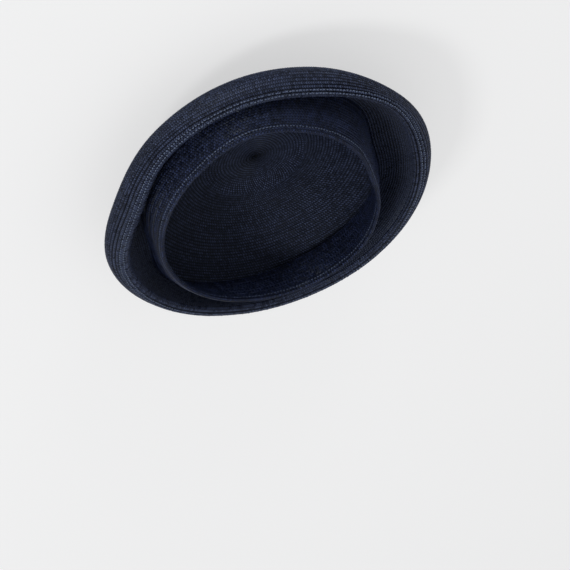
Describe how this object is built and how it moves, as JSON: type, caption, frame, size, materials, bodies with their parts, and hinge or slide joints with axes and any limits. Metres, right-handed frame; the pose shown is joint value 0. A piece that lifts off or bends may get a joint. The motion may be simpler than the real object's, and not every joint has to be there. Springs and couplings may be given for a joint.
{
  "type": "straw beret",
  "caption": "Soft round beret hat of sewn straw braid, with a rolled lip, a turned-in under-brim and an upright headband round the head opening.",
  "frame": {"origin": "centre of the crown's flat tip, on the surface that the hat lies on", "axes": "+Z from the crown to the head opening, -Y toward the side worn at the brow, -X toward the hat's broad side"},
  "size_m": [0.2415, 0.2325, 0.064],
  "materials": {
    "navy_straw": "sewn straw braid, dark navy with a slight sheen",
    "navy_band": "sewn straw braid, dark navy, hemmed"
  },
  "bodies": {
    "root": {"crown": "navy_straw", "under_brim": "navy_straw", "headband": "navy_band"}
  },
  "joints": []
}
